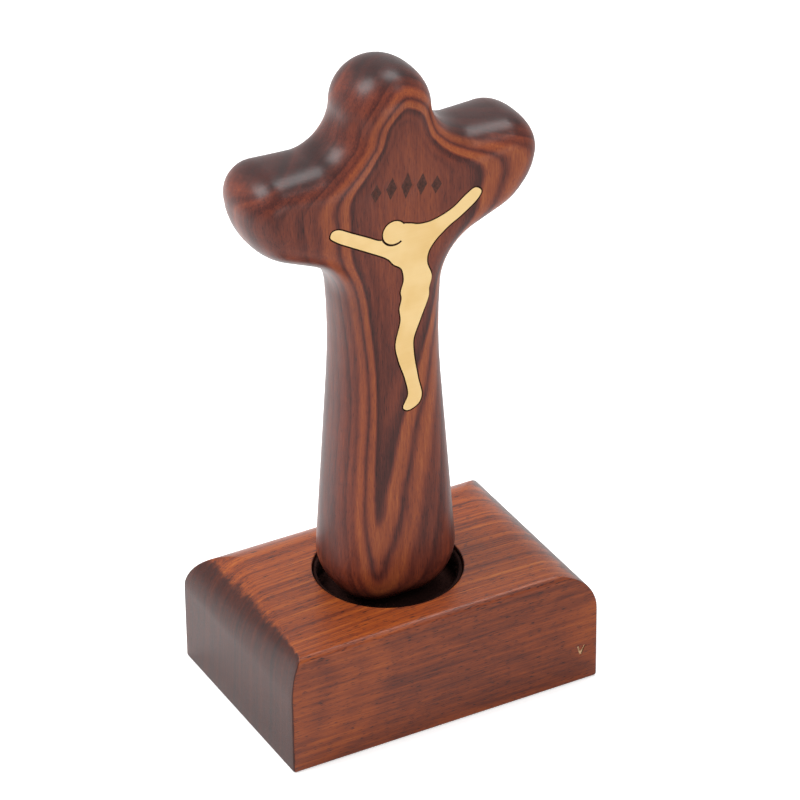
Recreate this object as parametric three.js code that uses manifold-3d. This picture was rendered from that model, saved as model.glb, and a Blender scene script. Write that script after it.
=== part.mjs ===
// Standing wooden cross: a rounded hand-sized cross with a flat brass figure let into its front,
// standing loose in a felt-lined round socket in a rectangular wooden block.
//
// Millimetres, +Z up, front towards -Y. The origin is the centre of the block's underside.

import * as THREE from "three";
import { mergeVertices } from "three/addons/utils/BufferGeometryUtils.js";
import Module from "manifold-3d";

const wasm = await Module();
wasm.setup();

// Block: outer size, and the roundings that were sanded on its edges
const base_width = 71.6;
const base_depth = 49.2;
const base_height = 27.3;
const end_round = 11;
const left_round_width_front = 3;
const left_round_width_back = 10;
const left_round_height = 10;
const back_edge_round = 10.6;
const front_edge_round = 1.8;
const upright_edge_round = 0.5;
const bottom_edge_round = 0.6;

// Socket: its place in the block, its felt, and how deep the foot stands in it
const socket_x = -1.85;
const socket_y = -2.7;
const socket_mouth_break = 0.4;
const foot_depth = 4.9;
const foot_clearance = 2.8;
const felt_thickness = 0.8;
const felt_rim_drop = 0.6;
const seat_gap = 0.3;

// Cross: heights are above the flat under its foot, widths are from its middle line
const cross_offset_x = -0.05;
const cross_offset_y = 0.8;
const board_thickness = 19.4;
const arm_top_height = 104.8;
const head_rise = 7.3;
const head_radius = 9.5;
const notch_radius = 7.9;
const arm_end_top_x = 33.2;
const arm_end_top_radius = 7.2;
const arm_end_low_x = 31.7;
const arm_end_depth = 17;
const arm_end_low_radius = 13.9;
const armpit_x = 11.7;
const armpit_depth = 25.3;
const armpit_radius = 11.5;
const waist_x = 10.35;
const waist_height = 62;
const waist_radius = 138;
const foot_corner_x = 15.2;
const foot_corner_radius = 11.3;
const foot_flat_cut = 0.4;

// Edge of the cross: how far the rounding reaches in, how full its curve is, and how far short
// of a tight end's centre or of the middle line it stops
const edge_round = 8.4;
const edge_fullness = 2.4;
const least_flat = 1;
const edge_round_change = 0.25;

// Brass figure: a flat plate in a pocket of the same outline
const plate_thickness = 1;
const pocket_gap = 0.3;
const shoulder_drop = 16.1;
const figure_head_x = -2.3;
const figure_head_rise = -0.2;
const figure_head_radius = 2.5;
const chin_slit_width = 0.45;
const chin_slit_from = 190;
const chin_slit_to = 305;

// How finely curves are divided, and how far a cutting shape runs past what it cuts
const arc_step_degrees = 7.5;
const line_step = 5;
const edge_steps = 9;
const socket_facets = 72;
const figure_facets = 160;
const overcut = 1;

// Points of an arc with its outward normals. On a hollow arc side is -1, and they point inwards.
function arc(centre_x, centre_z, radius, from_degrees, to_degrees, side = 1) {
  const steps = Math.max(2, Math.round(Math.abs(to_degrees - from_degrees) / arc_step_degrees));
  const points = [];
  for (let i = 0; i <= steps; i += 1) {
    const angle = THREE.MathUtils.degToRad(from_degrees + ((to_degrees - from_degrees) * i) / steps);
    const x = Math.cos(angle);
    const z = Math.sin(angle);
    points.push({
      x: centre_x + radius * x,
      z: centre_z + radius * z,
      normal_x: side * x,
      normal_z: side * z,
      tightness: side > 0 ? radius : Infinity,
    });
  }
  return points;
}

// Quarter ellipse, counter-clockwise, for edges that are rounded more one way than the other
function quarter_ellipse(centre_x, centre_z, radius_x, radius_z, from_degrees) {
  const steps = Math.round(90 / arc_step_degrees);
  const points = [];
  for (let i = 0; i <= steps; i += 1) {
    const angle = THREE.MathUtils.degToRad(from_degrees + (90 * i) / steps);
    points.push({ x: centre_x + radius_x * Math.cos(angle), z: centre_z + radius_z * Math.sin(angle) });
  }
  return points;
}

// Closed body through rings of equal length. Each ring lies in one plane of constant y, runs
// counter-clockwise seen from the front, and the rings go from the front to the back.
function loft(rings) {
  const count = rings[0].length;
  const positions = rings.flat().flatMap((point) => [point.x, point.y, point.z]);
  const index = [];
  for (let ring = 0; ring + 1 < rings.length; ring += 1) {
    for (let i = 0; i < count; i += 1) {
      const a = ring * count + i;
      const b = ring * count + ((i + 1) % count);
      index.push(a, a + count, b, b, a + count, b + count);
    }
  }
  const last = (rings.length - 1) * count;
  const flat_ring = (ring) => ring.map((point) => new THREE.Vector2(point.x, point.z));
  for (const [a, b, c] of THREE.ShapeUtils.triangulateShape(flat_ring(rings[0]), [])) {
    index.push(a, b, c);
  }
  for (const [a, b, c] of THREE.ShapeUtils.triangulateShape(flat_ring(rings.at(-1)), [])) {
    index.push(last + a, last + c, last + b);
  }
  const geometry = new THREE.BufferGeometry();
  geometry.setAttribute("position", new THREE.Float32BufferAttribute(positions, 3));
  geometry.setIndex(index);
  return geometry;
}

function to_solid(geometry) {
  const bare = geometry.clone();
  bare.deleteAttribute("normal");
  bare.deleteAttribute("uv");
  const merged = mergeVertices(bare);
  const mesh = new wasm.Mesh({
    numProp: 3,
    vertProperties: new Float32Array(merged.attributes.position.array),
    triVerts: new Uint32Array(merged.index.array),
  });
  return new wasm.Manifold(mesh);
}

function to_geometry(solid) {
  const mesh = solid.getMesh();
  const geometry = new THREE.BufferGeometry();
  geometry.setAttribute("position", new THREE.BufferAttribute(mesh.vertProperties, 3));
  geometry.setIndex(new THREE.BufferAttribute(mesh.triVerts, 1));
  geometry.computeVertexNormals();
  return geometry;
}

// Prism of an outline, standing on its own plane
function prism(points, depth) {
  const shape = new THREE.Shape(points.map((point) => new THREE.Vector2(point.x, point.z)));
  return new THREE.ExtrudeGeometry(shape, { depth, bevelEnabled: false });
}

// Prism with its outline upright, in x and z, from y_front back to y_back
function upright_prism(points, y_front, y_back) {
  const geometry = prism(points, y_back - y_front);
  geometry.rotateX(Math.PI / 2);
  geometry.translate(0, y_back, 0);
  return geometry;
}

// Body of revolution about an upright axis, from [radius, height] pairs
function turned(profile, facets) {
  const points = profile.map(([radius, height]) => new THREE.Vector2(radius, height));
  const geometry = new THREE.LatheGeometry(points, facets);
  geometry.rotateX(Math.PI / 2);
  return geometry;
}

// Block: three profiles that meet in crisp mitres, as edges sanded one after another do.
// The left end is rounded little at the front and much more at the back.
function block_end_profile(left_round_width, y) {
  const half = base_width / 2;
  const corner = bottom_edge_round;
  const points = [
    ...arc(half - corner, corner, corner, -90, 0),
    ...arc(half - end_round, base_height - end_round, end_round, 0, 90),
    ...quarter_ellipse(
      -half + left_round_width,
      base_height - left_round_height,
      left_round_width,
      left_round_height,
      90,
    ),
    ...arc(-half + corner, corner, corner, 180, 270),
  ];
  return points.map((point) => new THREE.Vector3(point.x, y, point.z));
}

function block_blank() {
  const half_depth = base_depth / 2;
  const ends = loft([
    block_end_profile(left_round_width_front, -half_depth - overcut),
    block_end_profile(left_round_width_back, half_depth + overcut),
  ]);

  const corner = bottom_edge_round;
  const side_outline = [
    ...arc(half_depth - corner, corner, corner, -90, 0),
    ...arc(half_depth - back_edge_round, base_height - back_edge_round, back_edge_round, 0, 90),
    ...arc(-half_depth + front_edge_round, base_height - front_edge_round, front_edge_round, 90, 180),
    ...arc(-half_depth + corner, corner, corner, 180, 270),
  ];
  const past_end = base_width / 2 + overcut;
  const sides = upright_prism(side_outline, -past_end, past_end);
  sides.rotateZ(Math.PI / 2);

  const plan_outline = [
    [1, 1],
    [-1, 1],
    [-1, -1],
    [1, -1],
  ].flatMap(([right, back], quarter) =>
    arc(
      right * (base_width / 2 - upright_edge_round),
      back * (half_depth - upright_edge_round),
      upright_edge_round,
      quarter * 90,
      quarter * 90 + 90,
    ),
  );
  const plan = prism(plan_outline, base_height + 2 * overcut);
  plan.translate(0, 0, -overcut);

  return to_solid(ends).intersect(to_solid(sides)).intersect(to_solid(plan));
}

// Cross outline, right half, from the top of the head down to the middle of the foot
function head_and_notch() {
  const rise = head_rise - notch_radius;
  const reach = head_radius + notch_radius;
  const notch_x = Math.sqrt(reach ** 2 - rise ** 2);
  const meet_degrees = THREE.MathUtils.radToDeg(Math.atan2(-rise, notch_x));
  return [
    ...arc(0, arm_top_height + head_rise, head_radius, 90, meet_degrees),
    ...arc(notch_x, arm_top_height + notch_radius, notch_radius, meet_degrees + 180, 270, -1).slice(1),
  ];
}

// Fillets between straight edges. Two fillets that would meet on an edge share it out.
function filleted(corners) {
  const edges = [];
  for (let i = 0; i + 1 < corners.length; i += 1) {
    const along = new THREE.Vector2(corners[i + 1].x - corners[i].x, corners[i + 1].z - corners[i].z);
    edges.push({ length: along.length(), direction: along.normalize() });
  }
  const wanted = corners.map((corner, i) => {
    if (i === 0 || i === corners.length - 1) {
      return 0;
    }
    const turn = edges[i - 1].direction.angleTo(edges[i].direction);
    return corner.radius * Math.tan(turn / 2);
  });
  const room = (i) => Math.min(1, (0.98 * edges[i].length) / (wanted[i] + wanted[i + 1]));

  const points = [];
  for (let i = 1; i + 1 < corners.length; i += 1) {
    const before = edges[i - 1].direction;
    const after = edges[i].direction;
    const radius = corners[i].radius * Math.min(room(i - 1), room(i));
    const turn = before.angleTo(after);
    const side = before.cross(after) < 0 ? 1 : -1;
    const tangent = radius * Math.tan(turn / 2);
    const start_x = corners[i].x - before.x * tangent;
    const start_z = corners[i].z - before.y * tangent;
    const centre_x = start_x + side * before.y * radius;
    const centre_z = start_z - side * before.x * radius;
    const from = THREE.MathUtils.radToDeg(Math.atan2(start_z - centre_z, start_x - centre_x));
    const to = from - side * THREE.MathUtils.radToDeg(turn);
    points.push(...arc(centre_x, centre_z, radius, from, to, side));
  }
  return points;
}

function half_outline() {
  const top = head_and_notch();
  const notch_end = top.at(-1);
  const bottom = -foot_flat_cut;
  const lower = filleted([
    { x: notch_end.x, z: notch_end.z },
    { x: arm_end_top_x, z: arm_top_height, radius: arm_end_top_radius },
    { x: arm_end_low_x, z: arm_top_height - arm_end_depth, radius: arm_end_low_radius },
    { x: armpit_x, z: arm_top_height - armpit_depth, radius: armpit_radius },
    { x: waist_x, z: waist_height, radius: waist_radius },
    { x: foot_corner_x, z: bottom, radius: foot_corner_radius },
    { x: 0, z: bottom },
  ]);
  const sparse = [...top, ...lower];

  const points = [sparse[0]];
  for (const next of sparse.slice(1)) {
    const last = points.at(-1);
    const steps = Math.ceil(Math.hypot(next.x - last.x, next.z - last.z) / line_step);
    for (let i = 1; i < steps; i += 1) {
      const mix = (name) => THREE.MathUtils.lerp(last[name], next[name], i / steps);
      points.push({ ...next, x: mix("x"), z: mix("z"), tightness: Infinity });
    }
    points.push(next);
  }
  return points;
}

// How far the edge rounding may reach in at a point, by itself: all of it along open stretches,
// less on a tight end or where the middle line is near
function round_limit(point) {
  const outwards = Math.sign(point.x) * point.normal_x;
  const to_middle = outwards > 0 ? Math.abs(point.x) / outwards : Infinity;
  return Math.min(edge_round, point.tightness - least_flat, to_middle - least_flat);
}

// Whole outline, counter-clockwise seen from the front. Each point's rounding changes gently
// from its neighbours'.
function cross_outline() {
  const right = half_outline();
  const left = right.slice(1).map((point) => ({ ...point, x: -point.x, normal_x: -point.normal_x }));
  const outline = [...left, ...right.toReversed()];
  return outline.map((point) => {
    const reach = outline.map(
      (other) =>
        round_limit(other) + edge_round_change * Math.hypot(point.x - other.x, point.z - other.z),
    );
    return { ...point, round: Math.min(...reach) };
  });
}

function cross_blank(outline) {
  const rings = [];
  for (let step = -edge_steps; step <= edge_steps; step += 1) {
    const angle = (Math.PI / 2) * (step / edge_steps);
    const out = Math.cos(angle) ** (2 / edge_fullness);
    const deep = Math.sign(angle) * Math.abs(Math.sin(angle)) ** (2 / edge_fullness);
    const inset = 1 - (Math.abs(step) === edge_steps ? 0 : out);
    rings.push(
      outline.map(
        (point) =>
          new THREE.Vector3(
            point.x - point.normal_x * point.round * inset,
            (board_thickness / 2) * deep,
            point.z - point.normal_z * point.round * inset,
          ),
      ),
    );
  }
  const blank = to_solid(loft(rings));
  const below_foot = upright_prism(
    [
      { x: -foot_corner_x, z: -foot_flat_cut - overcut },
      { x: foot_corner_x, z: -foot_flat_cut - overcut },
      { x: foot_corner_x, z: 0 },
      { x: -foot_corner_x, z: 0 },
    ],
    -board_thickness,
    board_thickness,
  );
  return blank.subtract(to_solid(below_foot));
}

// Figure: arms raised, body in a slight bow, legs together. Heights are from the shoulder line.
const figure_points = [
  [-14.6, 3.7],
  [-11.6, 2.1],
  [-8.1, 0.2],
  [-5.4, -1.2],
  [-2.4, -1.2],
  [-0.6, 1.1],
  [1.2, 0.9],
  [3.1, 0.25],
  [5.6, 0.1],
  [8.6, 0.8],
  [11.1, 1.9],
  [14, 4],
  [16, 4.95],
  [17.3, 3.9],
  [16.6, 2.5],
  [12.7, -0.4],
  [9.9, -2],
  [7, -4.3],
  [5.4, -6.4],
  [5, -8.8],
  [6, -12.2],
  [5.4, -14.7],
  [5.3, -16.5],
  [3.4, -21.2],
  [1.8, -25.4],
  [1.8, -28.6],
  [2.7, -34.6],
  [3.5, -39],
  [2.6, -40.8],
  [0.3, -41.6],
  [-0.7, -40.8],
  [0.4, -38],
  [-0.1, -34.6],
  [-1.7, -29.4],
  [-2.3, -25.8],
  [-1.1, -20.4],
  [-1.3, -17.8],
  [-0.8, -15.4],
  [-1, -14.1],
  [-0.3, -11.4],
  [-0.8, -8.7],
  [-2.5, -7.3],
  [-3.8, -5.7],
  [-8.1, -3],
  [-11.7, -0.9],
  [-15.1, 1.2],
  [-16.4, 2.5],
  [-15.9, 3.6],
];

function figure_outline(grow) {
  const curve = new THREE.CatmullRomCurve3(
    figure_points.map(([x, rise]) => new THREE.Vector3(x, arm_top_height - shoulder_drop + rise, 0)),
    true,
  );
  const points = [];
  for (let i = 0; i < figure_facets; i += 1) {
    const place = curve.getPointAt(i / figure_facets);
    const along = curve.getTangentAt(i / figure_facets);
    points.push({ x: place.x - along.y * grow, z: place.y + along.x * grow });
  }
  return points;
}

// The figure's solid, grown all round by a clearance, from y_front back to y_back
function figure_solid(grow, y_front, y_back) {
  const head_height = arm_top_height - shoulder_drop + figure_head_rise;
  const head = arc(figure_head_x, head_height, figure_head_radius + grow, 0, 360).slice(1);
  const body = to_solid(upright_prism(figure_outline(grow), y_front, y_back));
  return body.add(to_solid(upright_prism(head, y_front, y_back)));
}

// The thin curved slit that parts the bowed head from the shoulder
function chin_slit(y_front, y_back) {
  const head_height = arm_top_height - shoulder_drop + figure_head_rise;
  const inner = arc(figure_head_x, head_height, figure_head_radius, chin_slit_from, chin_slit_to);
  const outer = arc(
    figure_head_x,
    head_height,
    figure_head_radius + chin_slit_width,
    chin_slit_to,
    chin_slit_from,
  );
  return to_solid(upright_prism([...outer, ...inner], y_front, y_back));
}

function make_mesh(name, geometry, color, roughness, metalness = 0) {
  const material = new THREE.MeshStandardMaterial({ color, roughness, metalness });
  const mesh = new THREE.Mesh(geometry, material);
  mesh.name = name;
  return mesh;
}

// Sizes of the socket follow from the foot that stands in it
const outline = cross_outline();
const foot_half_width = Math.max(
  ...outline.filter((point) => point.z <= foot_depth).map((point) => point.x),
);
const felt_inner_radius = foot_half_width + foot_clearance;
const felt_outer_radius = felt_inner_radius + felt_thickness;
const socket_radius = felt_outer_radius + seat_gap;
const foot_level = base_height - foot_depth;
const felt_floor_top = foot_level - seat_gap;
const felt_floor_bottom = felt_floor_top - felt_thickness;
const socket_floor = felt_floor_bottom - seat_gap;

function base_block() {
  const cutter = turned(
    [
      [0, socket_floor],
      [socket_radius, socket_floor],
      [socket_radius, base_height - socket_mouth_break],
      [socket_radius + socket_mouth_break, base_height],
      [socket_radius + socket_mouth_break, base_height + overcut],
      [0, base_height + overcut],
    ],
    socket_facets,
  );
  cutter.translate(socket_x, socket_y, 0);
  return make_mesh("base_block", to_geometry(block_blank().subtract(to_solid(cutter))), 0x7a3f2a, 0.4);
}

function socket_lining() {
  const wall_bottom = felt_floor_top + seat_gap;
  const wall_top = base_height - felt_rim_drop;
  const wall = turned(
    [
      [felt_inner_radius, wall_bottom],
      [felt_outer_radius, wall_bottom],
      [felt_outer_radius, wall_top],
      [felt_inner_radius, wall_top],
      [felt_inner_radius, wall_bottom],
    ],
    socket_facets,
  );
  const floor = turned(
    [
      [0, felt_floor_bottom],
      [felt_outer_radius, felt_floor_bottom],
      [felt_outer_radius, felt_floor_top],
      [0, felt_floor_top],
    ],
    socket_facets,
  );
  const lining = new THREE.Group();
  lining.position.set(socket_x, socket_y, 0);
  lining.add(make_mesh("socket_lining_wall", to_geometry(to_solid(wall)), 0x1d1715, 0.95));
  lining.add(make_mesh("socket_lining_floor", to_geometry(to_solid(floor)), 0x1d1715, 0.95));
  return lining;
}

function cross() {
  const face = -board_thickness / 2;
  const blank = cross_blank(outline);
  const pocket = figure_solid(pocket_gap, face - overcut, face + plate_thickness + pocket_gap);
  const plate = figure_solid(0, face - overcut, face + plate_thickness)
    .subtract(chin_slit(face - 2 * overcut, face + plate_thickness + overcut))
    .intersect(blank);

  const group = new THREE.Group();
  group.position.set(socket_x + cross_offset_x, socket_y + cross_offset_y, foot_level);
  group.add(make_mesh("cross_body", to_geometry(blank.subtract(pocket)), 0x6b3526, 0.38));
  group.add(make_mesh("figure_inlay", to_geometry(plate), 0xe8cf92, 0.35, 0.9));
  return group;
}

const standing_cross = new THREE.Group();
standing_cross.add(base_block(), socket_lining(), cross());

export default standing_cross;
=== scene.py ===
"""Looks of a standing wooden cross: lacquered wood, a flush brass figure, a felt-lined recess."""

import logging
import math
from collections.abc import Callable, Sequence
from dataclasses import dataclass, field, replace
from enum import Enum
from functools import partial

import bpy
import numpy as np
from mathutils import Matrix, Vector


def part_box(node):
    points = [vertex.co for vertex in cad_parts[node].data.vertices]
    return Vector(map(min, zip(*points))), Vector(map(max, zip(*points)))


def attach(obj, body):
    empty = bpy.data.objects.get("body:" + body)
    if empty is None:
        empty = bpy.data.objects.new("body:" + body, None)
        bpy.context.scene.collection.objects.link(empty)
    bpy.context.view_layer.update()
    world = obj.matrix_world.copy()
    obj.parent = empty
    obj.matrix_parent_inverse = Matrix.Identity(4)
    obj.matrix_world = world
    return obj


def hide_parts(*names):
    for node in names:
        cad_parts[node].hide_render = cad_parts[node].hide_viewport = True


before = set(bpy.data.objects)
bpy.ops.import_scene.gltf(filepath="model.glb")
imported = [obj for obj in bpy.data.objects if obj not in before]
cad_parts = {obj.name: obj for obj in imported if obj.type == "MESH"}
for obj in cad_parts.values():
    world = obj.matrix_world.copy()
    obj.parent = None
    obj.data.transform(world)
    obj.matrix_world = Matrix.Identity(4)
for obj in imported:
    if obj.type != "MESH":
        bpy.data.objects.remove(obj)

log = logging.getLogger("standing_cross")

MM = 0.001
# How far a cutting tool reaches past the face that it cuts, in millimetres
OVERCUT = 1.0

Node = bpy.types.Node
Socket = bpy.types.NodeSocket
Material = bpy.types.Material
Piece = bpy.types.Object
Inputs = bpy.types.bpy_prop_collection
Add = Callable[..., Node]
Colour = tuple[float, float, float, float]
Place = tuple[float, float, float]
Pair = tuple[float, float]

MATH, VECTOR_MATH, MAP_RANGE = "ShaderNodeMath", "ShaderNodeVectorMath", "ShaderNodeMapRange"
RAMP, NOISE, MIX = "ShaderNodeValToRGB", "ShaderNodeTexNoise", "ShaderNodeMix"
SMOOTH = {"interpolation_type": "SMOOTHSTEP"}
INPUT_KINDS = {float: "Float", int: "Int", Vector: "Vector", Material: "Material", Piece: "Object"}


class Slot(Enum):
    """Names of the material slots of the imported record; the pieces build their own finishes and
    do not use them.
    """

    BASE_WOOD = "base_wood"
    CROSS_WOOD = "cross_wood"
    BRASS = "inlay_brass"
    FELT = "lining_felt"


class Body(Enum):
    """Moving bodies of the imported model."""

    BASE = "base"
    CROSS = "cross"


class Grain(Enum):
    """Which way the fibres of a piece run, as the turn that lays them along the pattern's Z."""

    UPRIGHT = (0.0, 0.0, 0.0)
    ALONG_WIDTH = (0.0, -math.pi / 2, 0.0)


class Tooling(Enum):
    """What a solid tool does to a piece."""

    JOIN = "UNION"
    TAKE_OUT = "DIFFERENCE"


def linear(code: str) -> Colour:
    """Turn an sRGB hex colour into the linear colour that shaders take.

    Args:
        code: Six hex digits, with or without a leading hash.

    Returns:
        Red, green, blue and an alpha of 1, all linear.
    """
    values = [int(code.lstrip("#")[i : i + 2], 16) / 255 for i in (0, 2, 4)]
    red, green, blue = (v / 12.92 if v <= 0.04045 else ((v + 0.055) / 1.055) ** 2.4 for v in values)
    return red, green, blue, 1.0


def add_node(
    tree: bpy.types.NodeTree, kind: str, inputs: dict | None = None, **settings: object
) -> Node:
    """Add one node with its settings, values and links.

    Args:
        tree: The node tree that the node goes into.
        kind: The node's type name.
        inputs: Socket name or number to a value, an output socket that feeds it, or a node
            whose first output feeds it.
        **settings: Attributes to set on the node.

    Returns:
        The new node.
    """
    node = tree.nodes.new(kind)
    for name, value in settings.items():
        setattr(node, name, value)
    for key, value in (inputs or {}).items():
        if isinstance(value, Node):
            value = value.outputs[0]
        if isinstance(value, Socket):
            tree.links.new(value, node.inputs[key])
        else:
            node.inputs[key].default_value = value
    return node


def limits(which: str, ends: Sequence[float]) -> dict[str, float]:
    """The From or To inputs of a range, from its two ends."""
    return {f"{which} Min": ends[0], f"{which} Max": ends[1]}


def fill_ramp(node: Node, stops: Sequence[tuple[float, str | Colour]]) -> Node:
    """Give a colour ramp its stops.

    Args:
        node: The colour ramp node.
        stops: Places from 0 to 1, in order, each with a hex colour or a linear one.

    Returns:
        The same node.
    """
    elements = node.color_ramp.elements
    while len(elements) > 1:
        elements.remove(elements[-1])
    for i, (place, tone) in enumerate(stops):
        element = elements.new(place) if i else elements[0]
        element.position = place
        element.color = linear(tone) if isinstance(tone, str) else tone
    return node


def marks(add: Add, place: Socket, size: Pair, seed: float, detail: float, rough: float) -> Node:
    """Noise whose marks have one size across the grain and another along it.

    Args:
        add: Adds a node to the material.
        place: The point in millimetres, with the grain along Z.
        size: Size of a mark across and along the grain, in millimetres.
        seed: Shift of the pattern, so that two pieces differ.
        detail: How many finer layers the noise has.
        rough: How strong those layers are.

    Returns:
        The noise, about 0.5 on average.
    """
    scale = (1 / size[0], 1 / size[0], 1 / size[1])
    scaled = add("ShaderNodeMapping", {"Vector": place, "Scale": scale, "Location": (seed, 0, 0)})
    return add(NOISE, {"Vector": scaled, "Scale": 1.0, "Detail": detail, "Roughness": rough})


def shift_tone(add: Add, tone: Node, pattern: Node, gain: float) -> Node:
    """Shift a tone by a pattern, up and down about the pattern's middle.

    Args:
        add: Adds a node to the material.
        tone: The tone to shift.
        pattern: The noise that shifts it.
        gain: How far the whole range of the noise would shift it.

    Returns:
        The shifted tone.
    """
    centred = add(MATH, {0: pattern, 1: 0.5}, operation="SUBTRACT")
    return add(MATH, {0: centred, 1: gain, 2: tone}, operation="MULTIPLY_ADD")


@dataclass(frozen=True)
class RingFigure:
    """How the growth rings lie in a piece, in millimetres along and across its grain.

    The rings are shells round a pith line that bends past the piece, so flat faces show
    cathedrals and rounded edges show contour rings, as sawn and shaped wood does. A point of the
    pith path gives a height, where the pith lies across and in depth, and how much the rings are
    drawn out across. A tone runs from 0, the darkest line, to 1, the palest band. A roundness of
    2 makes round rings; less makes them come to a point, for V-shaped cathedrals.
    """

    low: float
    high: float
    pith_path: tuple[tuple[float, float, float, float], ...]
    ring_tones: tuple[Pair, ...]
    seed: float
    skew: float = 0.0
    roundness: float = 2.0
    warp: float = 1.6
    warp_size: Pair = (17.0, 52.0)
    band_width: float = 2.6
    band_gain: float = 0.5
    line_width: float = 0.45
    line_gain: float = 0.3
    reach: float = 64.0
    span: float = 40.0

    def _from_pith(self, add: Add, place: Socket) -> tuple[Socket, Socket]:
        """How far a point lies from the pith.

        Args:
            add: Adds a node to the material.
            place: The point in millimetres, with the grain along Z.

        Returns:
            The distance across, skewed and drawn out, and the distance in depth.
        """
        height = add("ShaderNodeSeparateXYZ", {"Vector": place}).outputs["Z"]
        along = add(MAP_RANGE, {"Value": height, **limits("From", (self.low, self.high))})
        path = add(RAMP, {"Fac": along})
        path.color_ramp.interpolation = "CARDINAL"
        rise, reach = self.high - self.low, self.reach
        stops = [
            ((z - self.low) / rise, (x / reach + 0.5, y / reach + 0.5, wide, 1.0))
            for z, x, y, wide in self.pith_path
        ]
        fill_ramp(path, stops)
        scale, middle = (reach, reach, 0.0), (-reach / 2, -reach / 2, 0.0)
        pith = add(VECTOR_MATH, {0: path, 1: scale, 2: middle}, operation="MULTIPLY_ADD")
        wander = marks(add, place, self.warp_size, self.seed, 2.0, 0.45).outputs["Color"]
        centred = add(VECTOR_MATH, {0: wander, 1: (0.5, 0.5, 0.5)}, operation="SUBTRACT")
        most = (self.warp, self.warp, 0.0)
        warped = add(VECTOR_MATH, {0: centred, 1: most, 2: place}, operation="MULTIPLY_ADD")
        offset = add(VECTOR_MATH, {0: warped, 1: pith}, operation="SUBTRACT")
        sides = add("ShaderNodeSeparateXYZ", {"Vector": offset}).outputs
        width = add(MATH, {0: sides["X"]}, operation="ABSOLUTE")
        skewed = add(MATH, {0: width, 1: -self.skew, 2: sides["X"]}, operation="MULTIPLY_ADD")
        drawn_out = add("ShaderNodeSeparateColor", {"Color": path}).outputs["Blue"]
        across = add(MATH, {0: skewed, 1: drawn_out}, operation="MULTIPLY")
        return across.outputs[0], sides["Y"]

    def tone(self, add: Add, place: Socket) -> Node:
        """Tone of the growth rings, from the distance to the bending pith line.

        Args:
            add: Adds a node to the material.
            place: The point in millimetres, with the grain along Z.

        Returns:
            The tone, from dark to pale.
        """
        raised = []
        for side in self._from_pith(add, place):
            distance = add(MATH, {0: side}, operation="ABSOLUTE")
            raised.append(add(MATH, {0: distance, 1: self.roundness}, operation="POWER"))
        total = add(MATH, dict(enumerate(raised)), operation="ADD")
        radius = add(MATH, {0: total, 1: 1 / self.roundness}, operation="POWER")
        share = add(MATH, {0: radius, 1: self.span}, operation="DIVIDE")
        stops = [(ring / self.span, (level, level, level, 1.0)) for ring, level in self.ring_tones]
        tone = fill_ramp(add(RAMP, {"Fac": share}), stops)
        for width, gain, detail in (
            (self.band_width, self.band_gain, 2.0),
            (self.line_width, self.line_gain, 1.0),
        ):
            scaled = {0: radius, 1: 1 / width, 2: self.seed}
            counted = add(MATH, scaled, operation="MULTIPLY_ADD")
            look = {"W": counted, "Scale": 1.0, "Detail": detail, "Roughness": 0.5}
            tone = shift_tone(add, tone, add(NOISE, look, noise_dimensions="1D"), gain)
        return tone


class Finish:
    """What a surface is made of, as one material that reads Object coordinates only."""

    name: str

    def surface(self, add: Add) -> Node:
        """The shader of the surface, from nodes that add puts into the material."""
        raise NotImplementedError

    def build(self) -> Material:
        """Build the material.

        Returns:
            The material, under the finish's name.
        """
        material = bpy.data.materials.new(self.name)
        material.use_nodes = True
        material.node_tree.nodes.clear()
        add = partial(add_node, material.node_tree)
        add("ShaderNodeOutputMaterial", {"Surface": self.surface(add)})
        return material


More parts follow.
